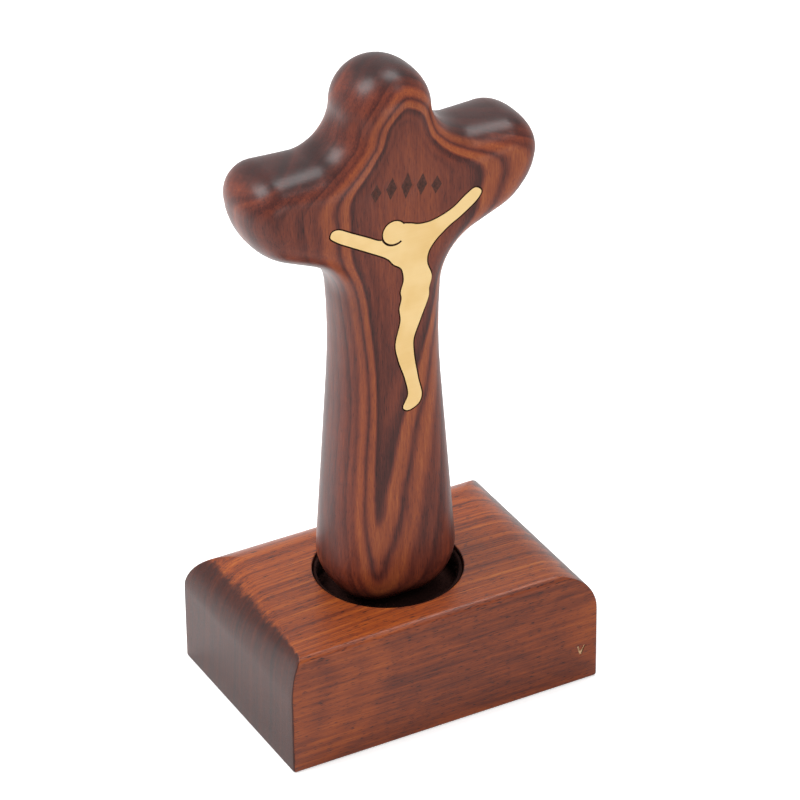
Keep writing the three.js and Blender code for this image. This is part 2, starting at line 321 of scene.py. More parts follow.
@dataclass(frozen=True)
class LacqueredTimber(Finish):
    """Dark striped rosewood, shaped, sanded and lacquered: a satin gloss over red-brown bands with
    near-black lines, short dark pores and greyer end grain. Marks have a size across the grain
    and one along it, in millimetres. Real pores are about 0.1 mm wide and are drawn a little
    wider, so that they show."""

    name: str
    grain: Grain
    figure: RingFigure
    tones: tuple[str, ...] = ("#2A1210", "#4D221C", "#713424", "#8D4628", "#AC6034")
    end_tone: str = "#8C7478"
    end_fade: Pair = (0.5, 0.95)
    end_ragged: float = 0.3
    end_marks: Pair = (1.7, 30.0)
    blotches: Pair = (11.0, 34.0)
    blotch_gain: float = 0.4
    fibres: Pair = (0.24, 3.2)
    fibre_gain: float = 0.5
    streaks: Pair = (0.8, 26.0)
    streak_gain: float = 0.3
    pores: Pair = (0.15, 1.9)
    pore_fade: Pair = (0.58, 0.72)
    pore_gain: float = 0.22
    pore_depth: float = 0.9
    relief: float = 0.035
    relief_strength: float = 0.5
    roughness: Pair = (0.3, 0.5)
    specular: float = 0.16
    coat: float = 0.26
    coat_roughness: float = 0.3

    def surface(self, add: Add) -> Node:
        """Wood under a thin satin coat.

        Args:
            add: Adds a node to the material.

        Returns:
            The shader.
        """
        coordinates = add("ShaderNodeTexCoord").outputs
        turned = {"Rotation": self.grain.value, "Scale": (1 / MM, 1 / MM, 1 / MM)}
        place = add("ShaderNodeMapping", {"Vector": coordinates["Object"], **turned}).outputs[0]
        noise = partial(marks, add, place, seed=self.figure.seed, rough=0.6)
        fibres = noise(self.fibres, detail=3.0)
        vessels = noise(self.pores, detail=1.0)
        pores = add(MAP_RANGE, {"Value": vessels, **limits("From", self.pore_fade)}, **SMOOTH)
        tone = self.figure.tone(add, place)
        for pattern, gain in (
            (noise(self.blotches, detail=2.0), self.blotch_gain),
            (noise(self.streaks, detail=2.0), self.streak_gain),
            (fibres, self.fibre_gain),
        ):
            tone = shift_tone(add, tone, pattern, gain)
        tone = add(MATH, {0: pores, 1: -self.pore_gain, 2: tone}, operation="MULTIPLY_ADD")
        steps = len(self.tones) - 1
        stops = [(i / steps, code) for i, code in enumerate(self.tones)]
        colour = fill_ramp(add(RAMP, {"Fac": tone}), stops)
        height = add(MATH, {0: pores, 1: -self.pore_depth, 2: fibres}, operation="MULTIPLY_ADD")
        bump = {"Strength": self.relief_strength, "Distance": self.relief * MM, "Height": height}
        ragged = noise(self.end_marks, detail=3.0)
        looks = {
            "Base Color": self._end_grain(add, ragged, coordinates["Normal"], colour),
            "Roughness": add(MAP_RANGE, {"Value": fibres, **limits("To", self.roughness)}),
            "Normal": add("ShaderNodeBump", bump),
            "Specular IOR Level": self.specular,
            "Coat Weight": self.coat,
            "Coat Roughness": self.coat_roughness,
        }
        return add("ShaderNodeBsdfPrincipled", looks)

    def _end_grain(self, add: Add, ragged: Node, normal: Socket, colour: Node) -> Socket:
        """Darker, greyer colour where the surface cuts across the fibres.

        Args:
            add: Adds a node to the material.
            ragged: Noise that makes its start ragged.
            normal: The surface's normal.
            colour: The colour of the wood along its grain.

        Returns:
            The colour of the wood all over.
        """
        turn = {"Vector": normal, "Rotation": self.grain.value}
        turned = add("ShaderNodeMapping", turn, vector_type="NORMAL")
        parts = add("ShaderNodeSeparateXYZ", {"Vector": turned})
        facing = add(MATH, {0: parts.outputs["Z"]}, operation="ABSOLUTE")
        cut = shift_tone(add, facing, ragged, self.end_ragged)
        mask = add(MAP_RANGE, {"Value": cut, **limits("From", self.end_fade)}, **SMOOTH)
        tint = {"Factor": mask, 6: colour, 7: linear(self.end_tone)}
        return add(MIX, tint, data_type="RGBA", blend_type="MULTIPLY").outputs[2]


@dataclass(frozen=True)
class CharredCut(Finish):
    """Wood that a cutter has scorched: the near-black walls of the pocket and of the engraving,
    dull and a little uneven. The brass figure's sides are given it too, as painted shade of the
    narrow gap round the figure."""

    name: str = "charred_cut_wood"
    tones: tuple[tuple[float, str], ...] = ((0.3, "#35190F"), (0.75, "#5A2C20"))
    fleck: float = 0.5
    roughness: float = 0.75

    def surface(self, add: Add) -> Node:
        """Flecked soot.

        Args:
            add: Adds a node to the material.

        Returns:
            The shader.
        """
        place = add("ShaderNodeTexCoord").outputs["Object"]
        flecks = add(NOISE, {"Vector": place, "Scale": 1 / (self.fleck * MM), "Detail": 2.0})
        tone = fill_ramp(add(RAMP, {"Fac": flecks}), self.tones)
        return add("ShaderNodeBsdfPrincipled", {"Base Color": tone, "Roughness": self.roughness})


@dataclass(frozen=True)
class SandedBrass(Finish):
    """Flat brass sheet, fine-sanded flush: an even pale satin with hairline scratches. Real
    sanding marks are finer than 0.1 mm and are drawn coarser, so that they show."""

    name: str = "sanded_brass_sheet"
    tones: tuple[tuple[float, str], ...] = ((0.35, "#ECCB8E"), (0.6, "#F2D59D"))
    cloud: float = 7.0
    roughness: Pair = (0.47, 0.65)
    scratch_length: float = 9.0
    scratch_pitch: float = 0.18
    scratch_slant: float = 0.35
    scratch_depth: float = 0.004
    scratch_strength: float = 0.2

    def surface(self, add: Add) -> Node:
        """Metal with sanding lines that run across the figure.

        Args:
            add: Adds a node to the material.

        Returns:
            The shader.
        """
        place = add("ShaderNodeTexCoord").outputs["Object"]
        scale = (1 / (self.scratch_length * MM), 1 / MM, 1 / (self.scratch_pitch * MM))
        drawn = {"Vector": place, "Rotation": (0.0, self.scratch_slant, 0.0), "Scale": scale}
        lines = add("ShaderNodeMapping", drawn)
        scratches = add(NOISE, {"Vector": lines, "Scale": 1.0, "Detail": 2.0, "Roughness": 0.6})
        clouds = add(NOISE, {"Vector": place, "Scale": 1 / (self.cloud * MM), "Detail": 2.0})
        bump = {"Strength": self.scratch_strength, "Distance": self.scratch_depth * MM}
        looks = {
            "Base Color": fill_ramp(add(RAMP, {"Fac": clouds}), self.tones),
            "Metallic": 1.0,
            "Roughness": add(MAP_RANGE, {"Value": scratches, **limits("To", self.roughness)}),
            "Normal": add("ShaderNodeBump", {**bump, "Height": scratches}),
        }
        return add("ShaderNodeBsdfPrincipled", looks)


@dataclass(frozen=True)
class GluedFelt(Finish):
    """Thin wool felt, pressed and glued: matt black-brown with a soft nap."""

    name: str = "black_brown_wool_felt"
    tones: tuple[tuple[float, str], ...] = ((0.35, "#1F0F0D"), (0.7, "#351C17"))
    fibre_size: float = 0.35
    tangle: float = 1.2
    relief: float = 0.12
    relief_strength: float = 0.8
    roughness: float = 0.95
    specular: float = 0.1
    sheen: float = 0.06
    sheen_roughness: float = 0.5

    def surface(self, add: Add) -> Node:
        """Wool with a fibrous bump and a weak sheen.

        Args:
            add: Adds a node to the material.

        Returns:
            The shader.
        """
        place = add("ShaderNodeTexCoord").outputs["Object"]
        size = {"Scale": 1 / (self.fibre_size * MM), "Distortion": self.tangle}
        wool = add(NOISE, {"Vector": place, **size, "Detail": 4.0, "Roughness": 0.7})
        bump = {"Strength": self.relief_strength, "Distance": self.relief * MM, "Height": wool}
        looks = {
            "Base Color": fill_ramp(add(RAMP, {"Fac": wool}), self.tones),
            "Roughness": self.roughness,
            "Specular IOR Level": self.specular,
            "Sheen Weight": self.sheen,
            "Sheen Roughness": self.sheen_roughness,
            "Sheen Tint": linear(self.tones[-1][1]),
            "Normal": add("ShaderNodeBump", bump),
        }
        return add("ShaderNodeBsdfPrincipled", looks)


def make_piece(name: str, vertices: np.ndarray, faces: Sequence[Sequence[int]]) -> Piece:
    """Make a smooth-shaded mesh object at the origin from points in millimetres.

    Args:
        name: The piece's name.
        vertices: One row of x, y and z for each point, in millimetres.
        faces: Point numbers of each face.

    Returns:
        The object, linked to the scene.
    """
    mesh = bpy.data.meshes.new(name)
    mesh.from_pydata((vertices * MM).tolist(), [], [list(face) for face in faces])
    mesh.validate()
    mesh.shade_smooth()
    piece = bpy.data.objects.new(name, mesh)
    bpy.context.scene.collection.objects.link(piece)
    return piece


def ring_faces(rings: int, count: int, first: int = 0, closed: bool = False) -> list[tuple]:
    """Quads between rings of points that follow one another.

    Args:
        rings: How many rings there are.
        count: Points in each ring.
        first: Number of the first point.
        closed: Whether the last ring also joins the first.

    Returns:
        Four point numbers for each quad, facing out when the rings run counter-clockwise as
        seen from the side that the later rings lie beyond.
    """
    faces = []
    for ring in range(rings if closed else rings - 1):
        here, after = first + ring * count, first + (ring + 1) % rings * count
        for i in range(count):
            j = (i + 1) % count
            faces.append((here + i, after + i, after + j, here + j))
    return faces


def loft(name: str, rings: Sequence[np.ndarray]) -> Piece:
    """Closed solid through rings of points, with a flat face at both ends.

    Args:
        name: The new object's name.
        rings: Rows of x, y and z in millimetres, counter-clockwise seen from the first end.

    Returns:
        The solid.
    """
    count = len(rings[0])
    last = (len(rings) - 1) * count
    ends = [tuple(range(count)), tuple(last + i for i in reversed(range(count)))]
    return make_piece(name, np.vstack(rings), ring_faces(len(rings), count) + ends)


def upright_prism(name: str, outline: np.ndarray, depths: Pair, origin: np.ndarray) -> Piece:
    """Solid prism of an outline that stands upright between two depths.

    Args:
        name: The new object's name.
        outline: Rows of x and z in millimetres, from the origin.
        depths: Depth of the front face and of the back face, from the origin.
        origin: Where the outline's zero lies in the frame.

    Returns:
        The closed prism.
    """
    x, z = outline[:, 0], outline[:, 1]
    if np.sum(x * np.roll(z, -1) - np.roll(x, -1) * z) < 0:
        x, z = x[::-1], z[::-1]
    rings = [np.column_stack([x, np.full(len(x), depth), z]) + origin for depth in depths]
    return loft(name, rings)


def apply_modifiers(piece: Piece) -> None:
    """Turn a piece's modifiers into a plain mesh and remove them.

    Args:
        piece: The piece, which keeps its name.
    """
    graph = bpy.context.evaluated_depsgraph_get()
    mesh = bpy.data.meshes.new_from_object(piece.evaluated_get(graph))
    piece.modifiers.clear()
    piece.data = mesh


def work(piece: Piece, tool: Piece, tooling: Tooling) -> None:
    """Work on a piece with a solid tool, in place, and delete the tool.

    Args:
        piece: The piece that keeps its name and gets the new mesh.
        tool: The closed solid that is joined to it or taken out of it.
        tooling: Which of the two.
    """
    modifier = piece.modifiers.new("tool", "BOOLEAN")
    modifier.operation = tooling.value
    modifier.solver = "EXACT"
    modifier.material_mode = "TRANSFER"
    modifier.object = tool
    apply_modifiers(piece)
    bpy.data.objects.remove(tool)


def dress(piece: Piece, *materials: Material) -> None:
    """Give a piece its materials.

    Args:
        piece: The piece.
        *materials: The materials, in the order of its faces' material numbers.
    """
    piece.data.materials.clear()
    for material in materials:
        piece.data.materials.append(material)


def scatter(name: str, lay: Callable[[Add, Inputs], Node], values: dict) -> Piece:
    """Run a Geometry Nodes tree once and keep its result as a plain mesh object.

    Args:
        name: The new object's name.
        lay: Adds the tree's nodes, given its inputs, and gives the one that places the copies.
        values: Name of each of the tree's inputs to its value. Material is the copies' own.

    Returns:
        The object, with no modifier left on it.
    """
    tree = bpy.data.node_groups.new(name, "GeometryNodeTree")
    tree.is_modifier = True
    tree.interface.new_socket("Geometry", in_out="OUTPUT", socket_type="NodeSocketGeometry")
    for label, value in values.items():
        kind = f"NodeSocket{INPUT_KINDS[type(value)]}"
        tree.interface.new_socket(label, in_out="INPUT", socket_type=kind)
    add = partial(add_node, tree)
    given = add("NodeGroupInput").outputs
    real = add("GeometryNodeRealizeInstances", {"Geometry": lay(add, given)})
    finish = {"Geometry": real, "Material": given["Material"]}
    add("NodeGroupOutput", {"Geometry": add("GeometryNodeSetMaterial", finish)})
    piece = bpy.data.objects.new(name, bpy.data.meshes.new(name))
    bpy.context.scene.collection.objects.link(piece)
    modifier = piece.modifiers.new("nodes", "NODES")
    modifier.node_group = tree
    for item in tree.interface.items_tree:
        if item.in_out == "INPUT":
            modifier[item.identifier] = values[item.name]
    apply_modifiers(piece)
    return piece


def arc_points(
    centre: Pair, radius: float, start: float, end: float, side: int = 1, step: float = 2.5
) -> np.ndarray:
    """Points along an arc with their outward normals.

    Args:
        centre: The arc's centre, x and z.
        radius: Its radius.
        start: Angle of the first point in degrees.
        end: Angle of the last point in degrees.
        side: 1 on a swelling arc, -1 on a hollow one, whose normals point at its centre.
        step: Angle between points in degrees.

    Returns:
        Rows of x, z, normal x, normal z and how tight the arc is, in millimetres.
    """
    steps = max(3, round(abs(end - start) / step))
    angles = np.radians(np.linspace(start, end, steps + 1))
    cos, sin = np.cos(angles), np.sin(angles)
    tight = np.full(steps + 1, radius if side > 0 else np.inf)
    x, z = centre[0] + radius * cos, centre[1] + radius * sin
    return np.column_stack([x, z, side * cos, side * sin, tight])


@dataclass(frozen=True)
class Corner:
    """A corner of the cross's outline: its place on the right half and the radius of its fillet."""

    x: float
    z: float
    radius: float = 0.0


@dataclass
class CrossOutline:
    """Outline of the cross, in millimetres above the flat under its foot, with the same sizes
    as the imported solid."""

    arm_top: float = 104.8
    head_rise: float = 7.3
    head_radius: float = 9.5
    notch_radius: float = 7.9
    arm_end_top: Corner = Corner(33.2, 104.8, 7.2)
    arm_end_low: Corner = Corner(31.7, 87.8, 13.9)
    armpit: Corner = Corner(11.7, 79.5, 11.5)
    waist: Corner = Corner(10.35, 62.0, 138.0)
    foot: Corner = Corner(15.2, -0.4, 11.3)
    most_of_edge: float = 0.98
    edge_round: float = 8.4
    least_flat: float = 1.0
    round_change: float = 0.25
    line_step: float = 1.2

    def _fillets(self, corners: Sequence[Corner]) -> np.ndarray:
        """Rounded corners between straight edges.

        Args:
            corners: The corners, of which the first and the last stay sharp and unmade.

        Returns:
            Rows as arc_points gives them, from the second corner to the last but one.
        """
        places = np.array([[corner.x, corner.z] for corner in corners])
        edges = np.diff(places, axis=0)
        lengths = np.hypot(edges[:, 0], edges[:, 1])
        directions = edges / lengths[:, None]
        turns = [
            math.acos(float(np.clip(before @ after, -1, 1)))
            for before, after in zip(directions[:-1], directions[1:])
        ]
        wanted = [0.0, *[c.radius * math.tan(t / 2) for c, t in zip(corners[1:-1], turns)], 0.0]
        rows = []
        for i, turn in enumerate(turns, start=1):
            before, after = directions[i - 1], directions[i]
            room = min(
                1.0,
                self.most_of_edge * lengths[i - 1] / (wanted[i - 1] + wanted[i]),
                self.most_of_edge * lengths[i] / (wanted[i] + wanted[i + 1]),
            )
            radius = corners[i].radius * room
            side = 1 if before[0] * after[1] - before[1] * after[0] < 0 else -1
            start = places[i] - before * radius * math.tan(turn / 2)
            centre = start + side * radius * np.array([before[1], -before[0]])
            angle = math.degrees(math.atan2(*(start - centre)[::-1]))
            end = angle - side * math.degrees(turn)
            rows.append(arc_points(tuple(centre), radius, angle, end, side))
        return np.vstack(rows)

    def points(self) -> np.ndarray:
        """The whole outline, counter-clockwise seen from the front.

        Returns:
            Rows of x, z, normal x, normal z and how far the edge rounding reaches in.
        """
        rise = self.head_rise - self.notch_radius
        notch_x = math.sqrt((self.head_radius + self.notch_radius) ** 2 - rise**2)
        meet = math.degrees(math.atan2(-rise, notch_x))
        head = arc_points((0.0, self.arm_top + self.head_rise), self.head_radius, 90, meet)
        notch_centre = (notch_x, self.arm_top + self.notch_radius)
        notch = arc_points(notch_centre, self.notch_radius, meet + 180, 270, -1)[1:]
        made = (self.arm_end_top, self.arm_end_low, self.armpit, self.waist, self.foot)
        lower = self._fillets([Corner(notch_x, self.arm_top), *made, Corner(0.0, self.foot.z)])
        middle_of_foot = np.array([[0.0, self.foot.z, 0.0, -1.0, np.inf]])
        half = self._divide(np.vstack([head, notch, lower, middle_of_foot]))
        outline = np.vstack([half[1:-1] * [-1, 1, -1, 1, 1], half[::-1]])
        outline[:, 4] = self._rounding(outline)
        return outline

    def _divide(self, rows: np.ndarray) -> np.ndarray:
        """Add points along the straight stretches.

        Args:
            rows: Rows as arc_points gives them.

        Returns:
            The rows with those between them, which lie on no arc.
        """
        out = [rows[0]]
        for row in rows[1:]:
            last = out[-1]
            steps = math.ceil(math.hypot(*(row[:2] - last[:2])) / self.line_step)
            for i in range(1, steps):
                point = row.copy()
                point[:4] = last[:4] + (row[:4] - last[:4]) * i / steps
                point[2:4] /= math.hypot(point[2], point[3])
                point[4] = np.inf
                out.append(point)
            out.append(row)
        return np.array(out)

    def _rounding(self, outline: np.ndarray) -> np.ndarray:
        """How far the rounding may reach in at each point, changing gently along the outline.

        Args:
            outline: Rows as arc_points gives them, all the way round.

        Returns:
            The reach at each row, in millimetres.
        """
        outwards = np.sign(outline[:, 0]) * outline[:, 2]
        with np.errstate(divide="ignore", invalid="ignore"):
            middle = np.where(outwards > 0, np.abs(outline[:, 0]) / outwards, np.inf)
        most = np.minimum(self.edge_round, np.minimum(outline[:, 4], middle) - self.least_flat)
        gaps = np.linalg.norm(outline[:, None, :2] - outline[None, :, :2], axis=2)
        return np.min(most[None, :] + self.round_change * gaps, axis=1)


@dataclass
class HoldingCross:
    """The cross: a board of wood rounded all round, with a pocket for the figure and a small
    engraved ornament above it."""

    wood: LacqueredTimber
    char_and_gap_shade: CharredCut
    outline: CrossOutline = field(default_factory=CrossOutline)
    fullness: float = 2.4
    edge_rings: int = 26
    pocket_depth: float = 1.3
    pocket_gap: float = 0.3
    lozenge_count: int = 5
    lozenge_length: float = 6.0
    lozenge_width: float = 2.5
    lozenge_depth: float = 0.55
    lozenge_taper: float = 0.16
    ornament_place: Pair = (0.6, 98.2)
    ornament_radius: float = 30.0
    ornament_spread: float = 26.0
    ornament_tilt: float = -6.5
    past_face: float = 0.02
    sharp_from: float = 40.0

    def __post_init__(self) -> None:
        """Take the cross's place from its solid in the frame."""
        low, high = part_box("cross_body")
        self.thickness = (high.y - low.y) / MM
        self.origin = np.array([(low.x + high.x) / 2, (low.y + high.y) / 2, low.z]) / MM

    def blank(self) -> Piece:
        """Build the rounded board before anything is cut into it.

        Returns:
            The closed board.
        """
        outline = self.outline.points()
        power = 2 / self.fullness
        rings = []
        for step in range(-self.edge_rings, self.edge_rings + 1):
            angle = math.pi / 2 * step / self.edge_rings
            out = 0.0 if abs(step) == self.edge_rings else math.cos(angle) ** power
            deep = math.copysign(abs(math.sin(angle)) ** power, angle)
            inset = (outline[:, 4] * (1 - out))[:, None]
            flat = outline[:, :2] - outline[:, 2:4] * inset
            depth = np.full(len(outline), self.thickness / 2 * deep)
            ring = np.column_stack([flat[:, 0], depth, np.maximum(flat[:, 1], 0.0)])
            rings.append(ring + self.origin)
        return loft("wooden_cross", rings)

    @staticmethod
    def _bow(add: Add, given: Inputs) -> Node:
        """Lay lozenges side by side along an arc, spikes downwards, shorter towards its ends.

        Args:
            add: Adds a node to the tree.
            given: The tree's inputs, by name.

        Returns:
            The node that places them.
        """
        sweep, count = given["Bow angle"], given["Count"]
        start = add(MATH, {0: sweep, 1: -0.5, 2: math.pi / 2}, operation="MULTIPLY_ADD")
        arc = {"Resolution": 32, "Radius": given["Bow radius"]}
        arc |= {"Start Angle": start, "Sweep Angle": sweep}
        bow = add("GeometryNodeCurveArc", arc, mode="RADIUS")
        points = add("GeometryNodeCurveToPoints", {"Curve": bow, "Count": count}, mode="COUNT")
        half_length = add(MATH, {0: given["Length"], 1: 0.5}, operation="MULTIPLY")
        cone = {"Vertices": 4, "Radius Top": half_length, "Radius Bottom": 0.0}
        spike = add("GeometryNodeMeshCone", {**cone, "Depth": given["Depth"]}, fill_type="NGON")
        slender = add(MATH, {0: given["Width"], 1: given["Length"]}, operation="DIVIDE")
        shape = add("ShaderNodeCombineXYZ", {"X": slender, "Y": 1.0, "Z": 1.0})
        narrow = add("GeometryNodeTransform", {"Geometry": spike, "Scale": shape})
        middle = add(MATH, {0: count, 1: 0.5, 2: -0.5}, operation="MULTIPLY_ADD")
        steps = add(MATH, {0: add("GeometryNodeInputIndex"), 1: middle}, operation="SUBTRACT")
        apart = add(MATH, {0: steps}, operation="ABSOLUTE")
        smaller = add(MATH, {0: apart, 1: given["Taper"]}, operation="MULTIPLY")
        share = add(MATH, {0: 1.0, 1: smaller}, operation="SUBTRACT")
        size = add("ShaderNodeCombineXYZ", {"X": 1.0, "Y": share, "Z": 1.0})
        placed = {"Points": points, "Instance": narrow, "Scale": size}
        return add("GeometryNodeInstanceOnPoints", placed)

    def ornament(self, charred: Material) -> Piece:
        """Cutter for the engraving: a shallow bow of lozenges, stood up against the face.

        Args:
            charred: The material of the walls that the engraving leaves.

        Returns:
            The closed cutter, its points sunk in the cross's face.
        """
        values = {
            "Length": self.lozenge_length * MM,
            "Width": self.lozenge_width * MM,
            "Depth": (self.lozenge_depth + self.past_face) * MM,
            "Taper": self.lozenge_taper,
            "Bow radius": self.ornament_radius * MM,
            "Bow angle": math.radians(self.ornament_spread),
            "Count": self.lozenge_count,
            "Material": charred,
        }
        cutter = scatter("ornament_cutter", self._bow, values)
        across, height = self.ornament_place
        face = Vector((across, self.lozenge_depth - self.thickness / 2, height))
        cutter.data.transform(
            Matrix.Translation((Vector(self.origin) + face) * MM)
            @ Matrix.Rotation(math.pi / 2, 4, "X")
            @ Matrix.Rotation(math.radians(self.ornament_tilt), 4, "Z")
            @ Matrix.Translation((0.0, -self.ornament_radius * MM, 0.0))
        )
        return cutter

    def build(self, figure: "BrassFigure") -> Piece:
        """Build the cross with its pocket and hand it to its body.

        Args:
            figure: The inlay, whose outline the pocket follows.

        Returns:
            The finished piece.
        """
        piece = self.blank()
        charred = self.char_and_gap_shade.build()
        dress(piece, self.wood.build())
        face = -self.thickness / 2
        depths = (face - OVERCUT, face + self.pocket_depth)
        pocket = figure.solid("pocket_cutter", self.pocket_gap, depths)
        dress(pocket, charred)
        work(piece, pocket, Tooling.TAKE_OUT)
        work(piece, self.ornament(charred), Tooling.TAKE_OUT)
        piece.data.set_sharp_from_angle(angle=math.radians(self.sharp_from))
        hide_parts("cross_body")
        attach(piece, Body.CROSS.value)
        return piece


# Figure: arms raised, body in a slight bow, legs together. Heights are from the shoulder line.
FIGURE_POINTS = (
    (-14.6, 3.7), (-11.6, 2.1), (-8.1, 0.2), (-5.4, -1.2), (-2.4, -1.2), (-0.6, 1.1), (1.2, 0.9),
    (3.1, 0.25), (5.6, 0.1), (8.6, 0.8), (11.1, 1.9), (14.0, 4.0), (16.0, 4.95), (17.3, 3.9),
    (16.6, 2.5), (12.7, -0.4), (9.9, -2.0), (7.0, -4.3), (5.4, -6.4), (5.0, -8.8), (6.0, -12.2),
    (5.4, -14.7), (5.3, -16.5), (3.4, -21.2), (1.8, -25.4), (1.8, -28.6), (2.7, -34.6),
    (3.5, -39.0), (2.6, -40.8), (0.3, -41.6), (-0.7, -40.8), (0.4, -38.0), (-0.1, -34.6),
    (-1.7, -29.4), (-2.3, -25.8), (-1.1, -20.4), (-1.3, -17.8), (-0.8, -15.4), (-1.0, -14.1),
    (-0.3, -11.4), (-0.8, -8.7), (-2.5, -7.3), (-3.8, -5.7), (-8.1, -3.0), (-11.7, -0.9),
    (-15.1, 1.2), (-16.4, 2.5), (-15.9, 3.6),
)


@dataclass
class BrassFigure:
    """The flat brass figure, let in flush with the face of the cross."""

    brass: SandedBrass
    cross: HoldingCross
    shoulder_height: float = 88.7
    head_x: float = -2.3
    head_rise: float = -0.2
    head_radius: float = 2.5
    slit_width: float = 0.45
    slit_from: float = 190.0
    slit_to: float = 305.0
    round_step: float = 5.0
    plate: float = 1.0
    rim: float = 0.09
    rims_of_brass: float = 3.0
    sharp_from: float = 50.0
    flat_from: float = 0.99
    steps_per_point: int = 12

    def contour(self, grow: float) -> np.ndarray:
        """Closed smooth curve through the figure's points, grown all round.

        Args:
            grow: How far outside the figure the curve runs.

        Returns:
            Rows of x and z above the foot of the cross.
        """
        p1 = np.array(FIGURE_POINTS)
        p0, p2, p3 = (np.roll(p1, shift, axis=0) for shift in (1, -1, -2))
        d1, d2, d3 = (
            np.sqrt([math.dist(*ends) for ends in zip(a, b)])[:, None]
            for a, b in ((p0, p1), (p1, p2), (p2, p3))
        )
        t1 = ((p1 - p0) / d1 - (p2 - p0) / (d1 + d2) + (p2 - p1) / d2) * d2
        t2 = ((p2 - p1) / d2 - (p3 - p1) / (d2 + d3) + (p3 - p2) / d3) * d2
        pieces = []
        for k in range(self.steps_per_point):
            t = k / self.steps_per_point
            pieces.append(
                (2 * t**3 - 3 * t**2 + 1) * p1
                + (t**3 - 2 * t**2 + t) * t1
                + (-2 * t**3 + 3 * t**2) * p2
                + (t**3 - t**2) * t2
            )
        curve = np.stack(pieces, axis=1).reshape(-1, 2)
        along = np.roll(curve, -1, axis=0) - np.roll(curve, 1, axis=0)
        along /= np.hypot(along[:, 0], along[:, 1])[:, None]
        outwards = np.column_stack([-along[:, 1], along[:, 0]])
        return curve + outwards * grow + [0.0, self.shoulder_height]

    def _round_head(self, radius: float, start: float, end: float) -> np.ndarray:
        """Points round the middle of the head.

        Args:
            radius: How far from the middle they lie.
            start: Angle of the first point in degrees.
            end: Angle of the last point in degrees.

        Returns:
            Rows of x and z above the foot of the cross.
        """
        centre = (self.head_x, self.shoulder_height + self.head_rise)
        return arc_points(centre, radius, start, end, step=self.round_step)[:, :2]

    def solid(self, name: str, grow: float, depths: Pair) -> Piece:
        """The figure with its head as one solid.

        Args:
            name: The new object's name.
            grow: How far it is grown all round.
            depths: Depth of its front face and of its back face, from the middle of the cross.

        Returns:
            The closed solid.
        """
        head = self._round_head(self.head_radius + grow, 0, 360)[1:]
        body = upright_prism(name, self.contour(grow), depths, self.cross.origin)
        work(body, upright_prism("head_tool", head, depths, self.cross.origin), Tooling.JOIN)
        return body

    def build(self) -> Piece:
        """Build the plate with its slit and its softened rim, and hand it to its body.

        Returns:
            The finished piece: brass on its face and rim, and down its brass sides a dark
                scorched-wood colour, painted shade of the narrow gap round the plate.
        """
        face = -self.cross.thickness / 2
        plate = self.solid("brass_figure", 0.0, (face, face + self.plate))
        outer = self._round_head(self.head_radius + self.slit_width, self.slit_to, self.slit_from)
        slit = np.vstack([outer, self._round_head(self.head_radius, self.slit_from, self.slit_to)])
        through = (face - OVERCUT, face + self.plate + OVERCUT)
        work(plate, upright_prism("slit_tool", slit, through, self.cross.origin), Tooling.TAKE_OUT)
        bevel = plate.modifiers.new("rim", "BEVEL")
        bevel.width = self.rim * MM
        bevel.segments = 2
        bevel.limit_method = "ANGLE"
        bevel.angle_limit = math.radians(self.sharp_from)
        bevel.use_clamp_overlap = True
        apply_modifiers(plate)
        dress(plate, self.brass.build(), self.cross.char_and_gap_shade.build())
        front = min(vertex.co.y for vertex in plate.data.vertices)
        # Faces below the rim are brass but take the dark second material: painted shade of the
        # narrow gap between the plate and its pocket
        for polygon in plate.data.polygons:
            polygon.use_smooth = abs(polygon.normal.y) < self.flat_from
            if polygon.center.y > front + self.rims_of_brass * self.rim * MM:
                polygon.material_index = 1
        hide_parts("figure_inlay")
        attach(plate, Body.CROSS.value)
        return plate


# A tick of two strokes, x and z from its middle
NICK_POINTS = (
    (-1.0, 1.15), (-0.62, 1.25), (-0.15, -0.1), (0.75, 1.3), (1.05, 1.1), (0.15, -0.85),
    (-0.35, -0.9),
)
BARE_WOOD_TONES = ("#8A5A3C", "#C09468", "#DDBB90", "#E8CCA6", "#F0DAB8")


